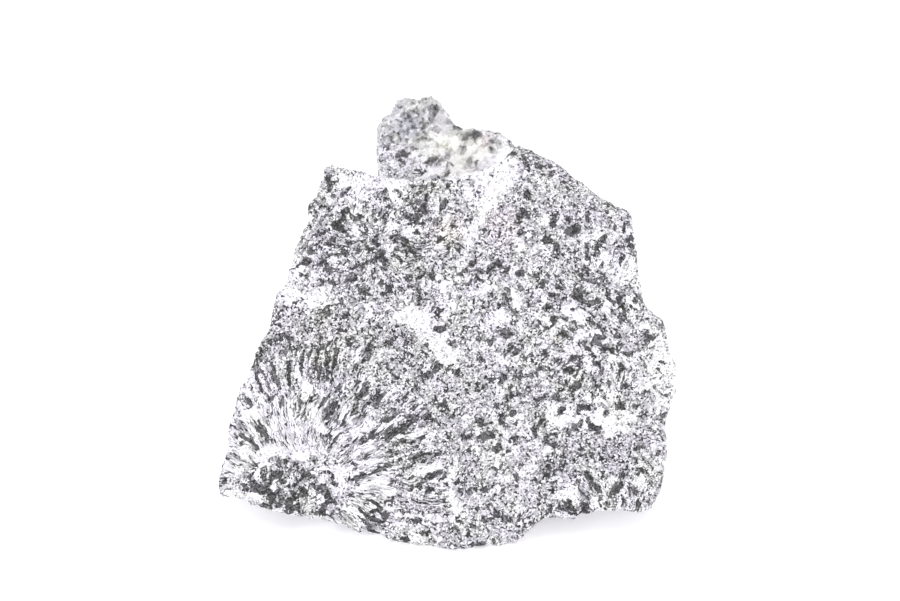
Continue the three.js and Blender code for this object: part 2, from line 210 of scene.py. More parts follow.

# Single grains that stand out on the broad face, in pixels of the photograph: x, y and radius.
# Then how dark they are. Two, at (500, 159) and (486, 164), are painted shade: the dark gap
# along the ridge where the lip meets the hollow.
DARK_GRAINS_AND_SHADE = [
    # in the core at the lower left
    (286, 460, 4, 0.85), (270, 468, 3, 1), (287, 474, 2.6, 1), (300, 470, 3, 1),
    (300, 481, 3.2, 1), (256, 487, 3.2, 0.95), (268, 481, 2.8, 0.85), (252, 466, 2.8, 1.05),
    (284, 501, 3.8, 0.8), (270, 498, 3.2, 1), (290, 510, 3, 1), (313, 492, 2.4, 0.9),
    (316, 511, 2.4, 1.2), (233, 462, 3, 0.9), (300, 478, 3.8, 1.1), (310, 476, 3.2, 1),
    (278, 466, 3.4, 0.9), (322, 511, 3.8, 0.9), (238, 413, 2.6, 1), (258, 372, 3.4, 0.9),
    (241, 441, 3.4, 0.9), (236, 411, 2.4, 1), (261, 370, 3.2, 1), (267, 394, 2.4, 1),
    (312, 507, 3, 1), (340, 513, 5, 0.6), (352, 495, 3.4, 0.95), (355, 486, 2.6, 0.9),
    (362, 494, 2.2, 1), (345, 503, 2.6, 0.7), (277, 460, 4.5, 1), (293, 463, 3.2, 1.25),
    (275, 474, 5.5, 1.1), (285, 466, 3, 1.3), (297, 469, 3.2, 1.1), (294, 480, 3.8, 1.1),
    (305, 475, 3.8, 1.3), (312, 475, 3.6, 1), (308, 482, 2.6, 1.3), (250, 475, 3.6, 1),
    (243, 475, 3, 0.9), (245, 487, 4, 1), (291, 494, 4, 0.8), (306, 491, 4.4, 1),
    (318, 488, 4.6, 0.95), (328, 494, 4.4, 1), (333, 501, 3.4, 1.2), (309, 513, 4.2, 1),
    (324, 505, 4.2, 0.95), (328, 516, 2.2, 1.2), (279, 494, 4.4, 0.85), (296, 508, 3.6, 0.9),
    (337, 494, 2, 1),
    # among and round the blades
    (366, 455, 3.8, 0.8), (384, 419, 3, 0.85), (374, 408, 3.4, 0.8), (364, 393, 3.4, 0.85),
    (267, 400, 3, 1), (281, 352, 3.2, 0.8), (283, 370, 3.2, 0.8), (348, 326, 3.6, 0.7),
    (318, 336, 4, 0.65), (281, 316, 4, 0.65), (350, 478, 3.2, 0.7), (410, 486, 3.4, 0.85),
    (391, 482, 3.6, 0.7), (462, 521, 3.2, 0.8), (391, 370, 3.8, 0.7), (312, 431, 4.6, 0.6),
    (300, 328, 4.4, 0.65), (325, 345, 4.4, 0.65), (285, 346, 3.4, 0.6), (345, 374, 3.4, 0.8),
    (360, 454, 2.4, 0.8), (378, 471, 3, 0.7), (396, 461, 3.4, 0.75), (402, 441, 2.8, 0.8),
    (437, 440, 4, 0.6), (405, 510, 5, 0.65), (424, 381, 3.2, 0.8), (328, 410, 3.6, 0.9),
    (362, 439, 2.8, 1.2), (330, 437, 3.2, 1.2), (318, 451, 2.4, 1.2), (420, 457, 4.6, 1),
    (417, 484, 3.2, 1.05), (427, 491, 3.4, 1), (454, 528, 3.6, 1.1), (475, 506, 3, 1.2),
    (461, 490, 2.8, 1.2), (469, 491, 3, 1.1), (372, 434, 2.8, 1), (346, 315, 3.2, 1.25),
    (324, 311, 3.4, 1), (368, 349, 2.8, 1.2), (425, 417, 3.2, 0.95), (303, 331, 3, 1),
    (288, 338, 2.6, 1.1),
    # in the upper left
    (441, 200, 3.4, 0.75), (416, 194, 3.2, 0.8), (324, 206, 3.4, 0.75), (321, 196, 4.2, 0.85),
    (384, 222, 3.4, 0.9), (370, 249, 3.6, 0.85), (330, 281, 4.2, 0.75), (400, 291, 3.8, 0.8),
    (454, 229, 4.6, 0.7), (440, 208, 3, 0.9), (357, 216, 4.2, 0.85), (318, 281, 3.8, 0.85),
    (385, 262, 3.8, 0.85), (356, 247, 4.6, 0.7), (366, 243, 3.6, 0.8), (347, 243, 2.4, 0.9),
    (372, 262, 4, 0.85), (396, 250, 3.2, 0.85), (384, 198, 3, 0.9), (447, 247, 2.8, 0.9),
    (412, 250, 3.6, 0.85), (448, 233, 2.4, 0.9), (447, 186, 2, 1), (436, 190, 2.4, 1),
    (456, 238, 2.4, 0.9), (337, 225, 4.8, 1.25), (330, 241, 3.8, 1.2), (321, 234, 3, 1.2),
    (312, 232, 2.2, 1.1), (308, 250, 4.4, 0.95), (375, 241, 4.4, 0.95), (379, 255, 5, 1.1),
    (394, 237, 4.6, 1.1), (405, 241, 4, 1.1), (423, 207, 4, 1.2), (415, 217, 4.6, 1),
    (351, 278, 5.2, 1), (363, 292, 4.2, 1.1), (386, 290, 4.6, 1), (407, 279, 4, 1),
    (420, 277, 3.2, 0.9), (322, 261, 4, 1), (327, 179, 4.4, 0.95), (328, 188, 3, 1),
    (320, 262, 3, 1), (344, 253, 3, 1), (328, 269, 3.2, 0.95),
    # in the middle
    (464, 319, 3.6, 0.8), (505, 354, 3.2, 0.8), (500, 521, 4.6, 0.75), (519, 527, 3.8, 0.75),
    (388, 314, 4.2, 0.75), (473, 279, 4.6, 0.7), (485, 491, 4.2, 0.75), (482, 424, 4.2, 0.8),
    (500, 419, 3.8, 0.7), (388, 343, 4, 0.85), (470, 266, 3.6, 0.8), (517, 393, 3.4, 0.95),
    (522, 358, 3.2, 0.9), (545, 352, 3.2, 0.95), (468, 270, 2.8, 1), (479, 272, 2.8, 1),
    (463, 320, 2.6, 0.9), (467, 351, 2.2, 1), (515, 352, 3.4, 0.95), (514, 312, 2.4, 0.85),
    (412, 364, 2.6, 0.9), (350, 340, 4.6, 0.9), (357, 345, 3, 1), (338, 330, 3, 0.9),
    (412, 387, 2.4, 1.1), (395, 378, 2.6, 0.9), (478, 388, 2.6, 1), (437, 329, 3.3, 1.6),
    (441, 327, 1.8, 1.5), (498, 263, 3.4, 1.4), (506, 271, 2.8, 1.1), (489, 270, 3, 1.2),
    (466, 284, 3.2, 1.1), (505, 291, 3.4, 0.95), (502, 302, 5, 0.95), (485, 306, 3.2, 1.1),
    (453, 268, 3, 1), (504, 333, 4.4, 1.05), (510, 347, 4.2, 1), (479, 337, 4, 1),
    (481, 359, 3.6, 1.2), (409, 332, 3.8, 0.85), (425, 349, 4.4, 0.9), (436, 367, 4.4, 0.95),
    (426, 374, 4.2, 1), (451, 344, 3.6, 0.8), (448, 367, 2.6, 1.2), (457, 371, 2.6, 1.2),
    (441, 405, 3.2, 1), (477, 418, 3.4, 1.2), (396, 334, 3.4, 0.9), (406, 340, 3, 1.1),
    # towards the right
    (557, 350, 3.6, 0.8), (546, 328, 3, 0.85), (567, 432, 3.8, 0.7), (580, 422, 2.4, 0.8),
    (631, 351, 4, 1.05), (651, 368, 3.2, 0.8), (640, 275, 2.8, 0.8), (597, 289, 3, 0.85),
    # painted shade: (500, 159) and (486, 164) on the next line are the dark gap along the lip's
    # ridge
    (633, 227, 3.2, 1), (592, 205, 3.4, 0.9), (500, 159, 2.6, 1.2), (486, 164, 2.2, 1.2),
    (566, 187, 3.4, 0.7), (562, 178, 3.8, 0.75), (552, 168, 3.8, 0.75), (577, 214, 3.8, 0.75),
    (641, 284, 3.2, 0.9), (556, 344, 2.8, 0.85), (581, 326, 2.8, 0.9), (536, 322, 3.2, 0.85),
    (570, 397, 3.4, 0.9), (632, 350, 2.6, 1.2), (590, 318, 3.4, 1), (618, 324, 3.4, 1),
    (536, 276, 4, 1), (541, 283, 3.2, 1), (552, 296, 3.6, 1), (565, 300, 3.2, 1),
    (540, 255, 2.6, 1.1), (533, 212, 3, 1), (592, 273, 3.2, 0.95), (601, 272, 2.8, 0.95),
    (595, 253, 2.6, 1.1), (605, 264, 2.6, 1), (632, 236, 3, 1.1), (620, 242, 5, 0.7),
    (530, 355, 2.4, 1.1), (557, 362, 2.6, 0.9), (537, 345, 2.6, 1), (552, 345, 2.2, 1.1),
    (540, 368, 2.6, 1), (553, 372, 2.6, 1), (572, 358, 3.6, 0.95), (580, 362, 2.8, 1),
    (571, 387, 3, 1.2), (541, 167, 4.2, 1.3), (548, 170, 3, 1.2), (530, 158, 3.2, 1.1),
    (528, 178, 2.8, 1.1), (527, 193, 4.2, 1), (521, 213, 5.4, 1), (573, 229, 6, 1.05),
    (567, 218, 2.4, 1.4), (594, 204, 4, 1.05), (613, 226, 3.2, 1.2), (628, 229, 3.6, 1.2),
    (547, 239, 3.6, 0.85), (555, 247, 4.2, 0.95), (544, 233, 2.6, 1), (520, 234, 3, 1.1),
    (519, 273, 3.2, 1.1), (585, 268, 3.4, 1.2), (580, 273, 2.6, 1.2), (577, 291, 3.4, 1.05),
    (607, 281, 3.2, 0.95), (628, 286, 3.6, 1), (636, 293, 4, 1), (560, 285, 4, 1),
    (546, 308, 4, 1), (564, 318, 3.2, 0.95), (520, 373, 4.2, 1), (502, 378, 4.8, 0.95),
    (490, 379, 4.2, 0.95), (566, 335, 4.8, 1.05), (584, 343, 2.6, 1), (596, 339, 5, 1.05),
    (605, 348, 6, 1), (595, 361, 3.8, 1.05), (605, 317, 3.8, 1), (613, 306, 3, 0.95),
    (622, 316, 3.8, 1.05), (645, 317, 4.4, 1), (660, 325, 3.2, 1.1), (647, 333, 3.8, 0.95),
    (655, 341, 2.8, 0.9), (629, 344, 2.8, 1.5), (640, 348, 3, 1.5), (633, 354, 2.6, 1.5),
    (622, 367, 3.4, 0.95), (622, 385, 4.6, 0.9), (645, 390, 3.2, 1.1), (636, 391, 3, 1),
    (662, 362, 3.2, 0.95), (541, 330, 2.6, 1), (567, 369, 4.6, 1), (575, 384, 3.6, 1),
    # round the pale band at the lower right
    (619, 404, 4.4, 1.2), (606, 411, 3.8, 1.2), (637, 404, 3.4, 1.4), (587, 407, 3, 1.1),
    (578, 408, 3.4, 0.9), (560, 410, 3.6, 1.1), (539, 398, 4.2, 1), (555, 398, 4.2, 0.95),
    (573, 428, 3.2, 1.1), (597, 428, 3, 1.05), (512, 412, 2.6, 1.2), (496, 406, 2.8, 1.2),
    # at the lower right
    (534, 433, 4.2, 0.8), (640, 446, 4.6, 0.55), (654, 453, 3.8, 0.55), (548, 517, 3.8, 0.75),
    (575, 511, 3.2, 0.75), (545, 441, 4, 0.85), (558, 446, 3.4, 0.85), (645, 435, 3.6, 0.8),
    (632, 432, 3, 0.85), (653, 430, 3, 1), (600, 496, 2.8, 0.8), (625, 497, 3.6, 1),
    (640, 490, 2.6, 1), (550, 442, 2.8, 0.95), (548, 434, 2.4, 1), (573, 461, 2.4, 1),
    (603, 476, 2.6, 0.9), (520, 514, 2.6, 1), (533, 520, 3.6, 0.8), (527, 533, 3, 0.9),
    (485, 520, 4.4, 0.9), (497, 519, 4, 0.85), (505, 518, 3.4, 0.85), (470, 525, 3.4, 0.95),
    (481, 543, 3.4, 1.1), (474, 546, 2.8, 1), (500, 477, 2, 1), (507, 425, 2.2, 0.9),
    (487, 434, 5.6, 1.2), (497, 449, 4.6, 1.2), (477, 457, 3.4, 1.1), (547, 470, 5, 1.05),
    (556, 469, 3, 1.2), (564, 505, 6, 1), (584, 503, 5, 1.05), (549, 508, 3.4, 1.1),
    (614, 489, 3.8, 1.25), (633, 489, 3.8, 1.2), (619, 482, 3.4, 1.1), (622, 473, 4, 1.1),
    (639, 470, 3.6, 1.1), (648, 480, 3.4, 1.1), (629, 457, 2.8, 1.3), (637, 503, 3.4, 1.2),
    (561, 461, 2.6, 1.2), (536, 480, 3, 1), (602, 461, 2.4, 1.2), (566, 447, 2.2, 1.2),
    (591, 453, 3, 1.1), (659, 492, 3, 0.9), (662, 474, 3.2, 1),
]

# White ones: the same, and how white.
WHITE_GRAINS = [
    # in and round the core at the lower left
    (303, 418, 4, 1.2), (234, 430, 3.4, 0.9), (278, 386, 2.6, 0.9), (347, 444, 3, 0.9),
    (322, 477, 4.2, 1), (284, 487, 2.8, 1), (293, 502, 2.2, 1), (311, 498, 2.2, 1),
    (250, 494, 3.8, 1.1), (257, 497, 3, 1.1), (303, 500, 2, 0.9), (228, 482, 3.8, 1),
    (315, 461, 3.4, 0.9), (388, 507, 3.6, 1), (425, 524, 3.2, 0.9), (441, 483, 3.2, 0.9),
    (464, 481, 3.2, 0.9), (514, 482, 3.2, 0.8), (440, 527, 4, 0.7), (462, 531, 4, 0.7),
    (281, 392, 4, 1), (308, 404, 2.8, 1), (323, 394, 2.8, 0.9), (263, 402, 4.6, 1.1),
    (258, 412, 3.6, 1), (315, 470, 4.4, 0.9), (352, 470, 2.6, 0.9), (262, 462, 3.6, 0.9),
    (300, 458, 3.6, 0.9), (290, 479, 4.6, 1.1), (275, 480, 2.6, 1.1), (271, 488, 2.6, 1.1),
    (237, 474, 4.6, 0.95), (313, 497, 3, 1.1), (309, 504, 2.6, 1), (345, 521, 4, 1),
    (337, 474, 6, 1.1), (300, 449, 4.6, 1.2), (322, 466, 4.2, 0.95),
    # in the upper left
    (437, 181, 3.4, 0.8), (407, 206, 3, 0.9), (555, 270, 3.8, 0.8), (513, 270, 3.4, 0.9),
    (510, 374, 2.6, 0.8), (518, 453, 4.6, 0.75), (356, 358, 4, 0.8), (420, 402, 4, 0.8),
    (478, 187, 5, 1.15), (430, 317, 4.6, 0.95), (445, 287, 5.4, 0.9), (447, 315, 5.2, 1.15),
    (439, 314, 3.4, 1.1), (466, 190, 5.4, 0.95), (440, 300, 3.6, 0.8), (415, 190, 2.4, 0.7),
    (391, 225, 5, 1.1), (406, 231, 4.4, 1.1), (355, 233, 4.4, 0.9), (389, 247, 4.2, 1),
    (333, 258, 2.8, 0.7),
    # towards the right
    (597, 280, 2.8, 0.8), (612, 292, 3.2, 0.85), (620, 302, 2.8, 0.85), (526, 172, 3.4, 0.9),
    (606, 331, 3.2, 0.95), (294, 264, 4, 0.9), (344, 196, 3.2, 0.8), (548, 226, 2.8, 0.8),
    (437, 276, 3.2, 0.85), (412, 292, 2.6, 0.8), (614, 372, 2.8, 0.9), (645, 340, 4, 1.1),
    (667, 372, 5, 1.2), (535, 292, 4, 0.8), (495, 297, 3.4, 0.8), (660, 350, 3, 0.9),
    (663, 372, 3.4, 0.9), (660, 387, 4, 0.9), (612, 395, 6, 1.2), (637, 413, 6, 1.2),
    (542, 222, 5, 0.85), (578, 350, 3.6, 1.1), (453, 409, 4.6, 1), (466, 421, 4.4, 0.8),
    (525, 409, 4.6, 0.8), (601, 401, 3.4, 1), (588, 399, 2.6, 0.8), (520, 414, 5, 0.7),
    (500, 395, 3.4, 0.7), (561, 323, 3.6, 1), (550, 330, 3.6, 1), (587, 354, 4.2, 1.15),
    (545, 361, 2.6, 0.9), (572, 312, 2.8, 0.9), (592, 329, 2.6, 1), (566, 345, 3.2, 0.9),
    (570, 272, 2, 0.5), (500, 318, 7, 1.2), (500, 358, 7, 1.1), (580, 316, 6.5, 1.2),
    (566, 308, 5, 1.1), (577, 335, 6, 1), (608, 255, 6, 1.3), (600, 226, 4.4, 1.2),
    (583, 225, 3.6, 1.1), (633, 266, 5.4, 1.2), (626, 279, 5, 1.1), (520, 243, 4.4, 1.1),
    (545, 322, 4.6, 1), (600, 300, 3, 0.8), (655, 352, 4.6, 1), (583, 238, 4.4, 1),
    (595, 232, 4.2, 1), (515, 302, 5.2, 0.95), (641, 325, 4, 0.8),
    # at the lower right
    (643, 506, 3.2, 1), (568, 513, 3.2, 0.9), (545, 451, 3.8, 0.8), (530, 497, 3.6, 0.7),
    (507, 478, 4.2, 0.7), (520, 470, 3.6, 0.7), (600, 440, 2.6, 0.6), (625, 430, 3.4, 0.8),
    (597, 512, 3.6, 0.8), (572, 492, 6.5, 1.1), (560, 497, 5, 1.1), (655, 443, 4.6, 1),
    (635, 481, 3.4, 1), (653, 470, 4, 1), (563, 517, 3.6, 1.1), (609, 430, 5.5, 1.2),
    (605, 421, 7, 1.2), (556, 420, 6, 1.1),
]

# Single blades, in pixels: x and y of their two ends, and half their width. Then how dark.
DARK_BLADES = [
    (395, 452, 368, 458, 1.6, 1), (500, 477, 490, 481, 1.5, 1), (505, 487, 480, 494, 1.8, 1),
    (487, 484, 479, 486, 1.8, 0.95), (470, 480, 455, 482, 1.4, 0.9),
    (420, 510, 412, 500, 1.8, 1.1), (425, 520, 430, 524, 1.4, 1.1), (420, 530, 424, 534, 2.4, 0.8),
    (455, 410, 449, 420, 1.2, 1), (492, 393, 499, 403, 1.2, 1.1), (510, 385, 507, 400, 2.2, 0.9),
    (505, 372, 520, 378, 1.8, 0.9), (505, 395, 500, 405, 1.6, 1), (258, 420, 266, 440, 3.4, 1.1),
    (249, 436, 253, 446, 3.6, 1), (231, 413, 240, 424, 1.7, 1.1), (247, 397, 250, 407, 1.8, 1.2),
    (264, 372, 270, 404, 2.6, 1), (268, 400, 270, 415, 2.4, 1), (299, 380, 299, 399, 1.6, 1.2),
    (286, 370, 292, 395, 2, 1), (276, 371, 277, 384, 1.6, 0.9), (288, 406, 293, 440, 1.2, 1),
    (345, 381, 318, 404, 1.7, 1), (345, 421, 321, 439, 1.8, 1.15), (334, 402, 324, 417, 3.2, 1),
    (362, 450, 344, 470, 1.6, 1.1), (362, 474, 347, 481, 2.6, 1.1), (398, 460, 362, 475, 3, 0.95),
    (438, 453, 410, 457, 3, 1.1), (438, 472, 418, 482, 3.2, 0.9), (366, 385, 357, 398, 2.4, 1.1),
    (383, 394, 378, 402, 1.8, 1.1), (416, 416, 397, 421, 1.5, 1.1), (414, 427, 400, 431, 1.4, 1),
    (422, 437, 408, 442, 1.4, 1.1), (396, 430, 385, 438, 1.6, 1.1), (396, 442, 381, 448, 1.4, 1.1),
    (395, 411, 388, 420, 2, 1), (440, 511, 424, 515, 1.4, 1.1), (442, 499, 418, 501, 1.6, 1),
    (404, 509, 384, 512, 1.6, 1), (378, 508, 366, 512, 2.4, 1), (375, 525, 363, 527, 3, 1.1),
    (312, 350, 317, 368, 2.4, 1), (322, 362, 322, 380, 2.2, 0.85), (336, 348, 330, 372, 2.2, 1.1),
    (258, 355, 256, 368, 2.4, 0.95), (255, 375, 259, 390, 2.6, 1.1), (263, 470, 261, 487, 3, 1.1),
    (263, 489, 276, 503, 4.6, 1), (303, 485, 295, 498, 2.2, 1.1), (282, 480, 288, 486, 1.6, 1.1),
    (587, 211, 588, 224, 3.4, 1.15), (586, 240, 586, 256, 2.6, 1.1), (604, 236, 594, 249, 4.6, 1),
    (631, 250, 618, 264, 1.8, 1.1), (610, 262, 619, 268, 1.8, 1.1), (557, 212, 552, 224, 2.2, 1),
    (645, 366, 656, 380, 2.2, 1.05), (543, 414, 535, 427, 2.4, 0.95), (586, 418, 592, 428, 2, 1.1),
    (462, 437, 480, 437, 2.4, 1.1), (603, 327, 592, 322, 3, 0.9), (583, 472, 600, 490, 2.4, 1),
    (577, 483, 586, 497, 2.4, 1), (630, 468, 630, 479, 2, 1.1), (346, 210, 339, 220, 2.6, 1.2),
    (395, 190, 420, 214, 1.3, 1), (428, 192, 421, 205, 1.6, 1.1), (402, 214, 418, 224, 2, 1),
    (380, 194, 386, 188, 2, 1), (350, 187, 342, 194, 2, 0.9),
]

# White ones: the same, and how white.
WHITE_BLADES = [
    (240, 448, 292, 451, 3.4, 1.15), (247, 496, 264, 497, 3, 1.2), (245, 390, 247, 397, 4.4, 1.2),
    (287, 398, 286, 402, 3, 1), (243, 413, 246, 425, 3, 1.1), (307, 385, 302, 395, 4.4, 1.2),
    (355, 432, 370, 424, 4.4, 1.1), (370, 445, 352, 456, 3, 1.1), (384, 477, 355, 488, 3.6, 1.1),
    (440, 465, 416, 471, 3.6, 1.1), (452, 470, 450, 497, 3.6, 0.95),
    (455, 502, 450, 518, 3.2, 0.85), (440, 517, 424, 519, 3.8, 1.2),
    (440, 538, 412, 538, 2.6, 1.1), (400, 418, 386, 424, 1.6, 1), (422, 430, 410, 437, 2.2, 1.2),
    (434, 430, 424, 436, 2.6, 1.1), (297, 415, 298, 440, 3, 1.2), (280, 400, 282, 430, 2.6, 1),
    (345, 180, 400, 185, 3.6, 1), (548, 418, 592, 420, 3.6, 0.95),
]

# Finer-grained places.
FINE_PLACES = [Patch(*row) for row in (
    ((14, 84, 0), (32, 86, 0), (5, 5)),
    ((-12, 44, 0), (8, 36, 0), (5, 6)),
    ((-12, 108, -21), (-8, 100, -20), (7, 6)),
)]

# The place whose small grains blend into each other.
SOFT_PLACE = Patch((-10, 108, -21), (8, 98, -20), (10, 7))

# Coarser-grained places.
COARSE_PLACES = [Patch(*row) for row in (
    ((34, 73, 0), (47, 60, 0), (7, 7)),
    ((24, 32, 0), (45, 34, 0), (4, 5)),
    ((42, 15, 0), (47, 14, 0), (5, 5)),
    ((-38, 15, 0), (-28, 10, 0), (9, 5)),
)]

# Stains: the middle, the radius and what the rock's own colour is multiplied by.
STAINS = [
    ((0, 76, 0), 6, (1.03, 1, 0.95)),  # brownish, left of the vein
    ((13, 78, 0), 6, (1.03, 0.97, 1)),  # purplish, right of the vein
    (seen(473, 262), 1.3, (1.1, 0.97, 0.99)),
    (seen(461, 327), 0.6, (1.15, 0.85, 0.65)),
    (seen(555, 341), 1.4, (1.04, 1, 0.86)),
    ((15.2, 49.8, 0), 0.9, (1.06, 0.93, 0.86)),
    ((9.5, 84, 0), 1.2, (1.04, 0.98, 0.9)),
    ((-30, 50, 0), 9, (1, 1.005, 0.955)),  # olive, in the dark rim
    ((31, 42, 0), 3, (1, 1.01, 0.93)),
    ((-5, 88, 0), 4, (1, 1.01, 0.95)),  # greenish, on the lip
    ((4, 98, -19), 10, (1.005, 1.003, 0.935)),  # cream, in the hollow
    ((9, 101.5, -19), 3.2, (1.05, 0.975, 0.97)),
    ((-6, 106, -21), 12, (1, 1.01, 0.955)),  # the knob, with a bluish middle
    ((-10, 107, -21), 5, (0.97, 0.98, 1.06)),
]


# ----------
# Material
# ----------

# Sizes in the rock's fabric, in millimetres.
GLINT = 0.36
CHIP = 0.8
CRYSTAL = 1.5
COARSE_CRYSTAL = 2.2
FAN = 6.5  # crystals lie the same way within one
CLUMP = 3.8  # dark and white crystals gather in these
DRIFT = 7  # from one cast of the colour to another
BUMP = 0.9

# Places along a crystal are brought closer by this, which draws the crystal out.
SHORTENING = -0.5

# Blades: their width in millimetres, and their length as a share of their zone's reach.
LARGE_BLADES = (0.95, 0.13)
SMALL_BLADES = (0.42, 0.09)
FIBRES = (0.24, 0.05)
# Where they have that width, and where they are set again, as shares of the zone's reach.
INNER_BLADES = 0.4
OUTER_BLADES = 0.8
SET_AGAIN = 0.62
# The reach of the smallest zone of blades that has fibres too, in millimetres.
FIBROUS_REACH = 16

# How places are bent: over how many millimetres, and how far.
GRAIN_BEND = (0.8, 0.14)
SOFT_BEND = (0.15, 0.3)
ZONE_BEND = (9, 1.3)
CORE_BEND = (4, 0.8)
BLADE_BEND = (3, 0.18)

# How much sooner an orbicule's inner zones end along U, V and N.
FLATNESS = (1, 1.55, 1.2)

# Levels of paleness, from 0 to 1. The darkest is for single grains.
GREY = 0.61
WHITE = 0.88
DARK = 0.125
DARKEST = 0.01

# How far the shares of white and dark crystals shift the grey ones, and how much crystals of
# one kind differ. Of two numbers, the second is for the soft place.
GREY_SHIFT = 0.10
GREY_SPREAD = (0.23, 0.14)
DARK_SPREAD = 0.13

# How strongly white and dark crystals gather in clumps, how ragged smaller grains make their
# edges, how wide those edges are, and the number that a white crystal's has to reach.
WHITE_CLUMPING = 1.6
DARK_CLUMPING = 0.8
RAGGEDNESS = (0.36, 0.12)
WHITE_EDGE = (0.05, 0.4)
DARK_EDGE = (0.03, 0.35)
LEAST_WHITE = 1.04

# What chips, seams, black flecks and glints add to a crystal's level, and how much less so in
# dark, white and soft crystals.
CHIP_SHARE = 1.3
SEAM_SHARE = -0.28
FLECK_SHARE = -0.75
GLINT_SHARE = 4.6
DARK_CALM = -0.5
WHITE_CALM = -0.3
SOFT_CALM = 0.12
LEAST_LIVELINESS = 0.15

# The rock's albedo for each level of paleness.
TONES = [
    (0.0, 0.022), (0.14, 0.10), (0.3, 0.21), (0.5, 0.39), (0.65, 0.56), (0.78, 0.74),
    (0.9, 0.86), (1.0, 0.89),
]

# The casts that the near-neutral colour drifts between.
LAVENDER = (1.02, 0.984, 1.10)
GREENISH = (1.0, 0.999, 1.01)


def set_inputs(node, values):
    """Sets a node's inputs, by their names."""
    for name, value in values.items():
        node.inputs[name].default_value = value


class Nodes:
    """Makes a material's nodes by plain calls. An input is a number, a tuple or another node's
    output, and each call returns an output. No node clamps its own output: the renderer leaves
    such clamps to the end, and has too little room for all that would wait for them."""

    def __init__(self, tree):
        self.tree = tree

    def make(self, kind, *values, **settings):
        """A node with these values for its first inputs."""
        node = self.tree.nodes.new("ShaderNode" + kind)
        for name, value in settings.items():
            setattr(node, name, value)
        for socket, value in zip(node.inputs, values):
            self.feed(socket, value)
        return node

    def feed(self, socket, value):
        if isinstance(value, bpy.types.NodeSocket):
            self.tree.links.new(value, socket)
        else:
            socket.default_value = value

    def math(self, operation, *values):
        return self.make("Math", *values, operation=operation).outputs[0]

    def clamped(self, value):
        """The value, held between 0 and 1."""
        return self.math("MAXIMUM", self.math("MINIMUM", value, 1), 0)

    def spread(self, value, amount, base):
        """The base, moved by up to half the amount by a random number from 0 to 1."""
        return self.math("MULTIPLY_ADD", self.math("SUBTRACT", value, 0.5), amount, base)

    def vector(self, operation, *values):
        return self.make("VectorMath", *values, operation=operation).outputs["Vector"]

    def scaled(self, vector, factor):
        node = self.make("VectorMath", vector, operation="SCALE")
        self.feed(node.inputs["Scale"], factor)
        return node.outputs["Vector"]

    def length(self, vector):
        return self.make("VectorMath", vector, operation="LENGTH").outputs["Value"]

    def dot(self, a, b):
        return self.make("VectorMath", a, b, operation="DOT_PRODUCT").outputs["Value"]

    def mix(self, factor, a, b, kind="FLOAT"):
        node = self.make("Mix", factor, data_type=kind, clamp_factor=False)
        first, output = {"FLOAT": (2, 0), "VECTOR": (4, 1)}[kind]
        self.feed(node.inputs[first], a)
        self.feed(node.inputs[first + 1], b)
        return node.outputs[output]

    def step(self, value, low, high, to_low=0.0, to_high=1.0):
        """Rises smoothly from to_low to to_high as value goes from low to high."""
        settings = {"interpolation_type": "SMOOTHSTEP", "clamp": False}
        return self.make("MapRange", value, low, high, to_low, to_high, **settings).outputs[0]

    def edge(self, value, soft, sharp_reach, soft_reach):
        """Rises smoothly from 0 to 1 as value passes 0, within a reach that grows with soft."""
        low = self.mix(soft, -sharp_reach, -soft_reach)
        return self.step(value, low, self.mix(soft, sharp_reach, soft_reach))

    def sparse(self, value):
        """Spreads a random number from 0 to 1 round 0, so that few are far from it."""
        return self.math("POWER", self.math("SUBTRACT", value, 0.5), 3)

    def kept(self, name):
        """Three numbers kept with the mesh's vertices under this name."""
        return self.make("Attribute", attribute_name=name).outputs["Vector"]

    def noise(self, vector, size, detail=1.0, roughness=0.5):
        """Soft noise whose waves are about size millimetres long: its value and its colour."""
        node = self.make("TexNoise", vector)
        set_inputs(node, {"Scale": 1 / size, "Detail": detail, "Roughness": roughness})
        return node.outputs[0], node.outputs[1]

    def cells(self, vector, size=1):
        """Grains of about this size: three random numbers for each, as a colour."""
        node = self.make("TexVoronoi", vector)
        set_inputs(node, {"Scale": 1 / size})
        return node.outputs["Color"]

    def seams(self, vector):
        """How far the seam between two grains of size 1 is."""
        node = self.make("TexVoronoi", vector, feature="DISTANCE_TO_EDGE")
        set_inputs(node, {"Scale": 1})
        return node.outputs["Distance"]

    def parts(self, vector):
        return tuple(self.make("SeparateXYZ", vector).outputs)

    def joined(self, x, y, z):
        return self.make("CombineXYZ", x, y, z).outputs[0]

    def ramp(self, value, stops):
        """A ramp over a value from 0 to 1, with stops of a position and three numbers."""
        node = self.make("ValToRGB", value)
        elements = node.color_ramp.elements
        while len(elements) < len(stops):
            elements.new(1.0)
        for element, (at, colour) in zip(elements, stops):
            element.position = at
            element.color = (*colour, 1)
        return node.outputs[0]


def face_place(n):
    """The shaded point in the face frame, in millimetres."""
    node = n.make("Mapping", n.make("TexCoord").outputs["Object"])
    shift = -(FACE_TURN.to_matrix() @ FACE_ORIGIN)
    set_inputs(node, {"Scale": [1 / MM] * 3, "Rotation": FACE_TURN, "Location": shift})
    return node.outputs[0]


def wobble(n, place, bend):
    """A shift that changes over the bend's size and is up to about as long as its reach."""
    size, reach = bend
    _, colour = n.noise(place, size)
    return n.scaled(n.vector("SUBTRACT", colour, (0.5, 0.5, 0.5)), 4 * reach)


def nearest_orbicule(n, place):
    """From the orbicule that the point is deepest in: the way from its middle, where its inner
    zones end, and where its outer ones end with its core's share of dark."""
    least = chosen = None
    for at, ends, core_dark in ORBICULES:
        away = n.vector("SUBTRACT", place, at)
        share = n.math("DIVIDE", n.length(away), ends[-1])
        found = (away, ends[:3], (*ends[3:], core_dark))
        if chosen is None:
            least, chosen = share, found
            continue
        closer = n.math("LESS_THAN", share, least)
        least = n.math("MINIMUM", share, least)
        chosen = [n.mix(closer, *pair, "VECTOR") for pair in zip(chosen, found)]
    away, inner_ends, outer_ends = chosen
    return away, n.parts(inner_ends), n.parts(outer_ends)


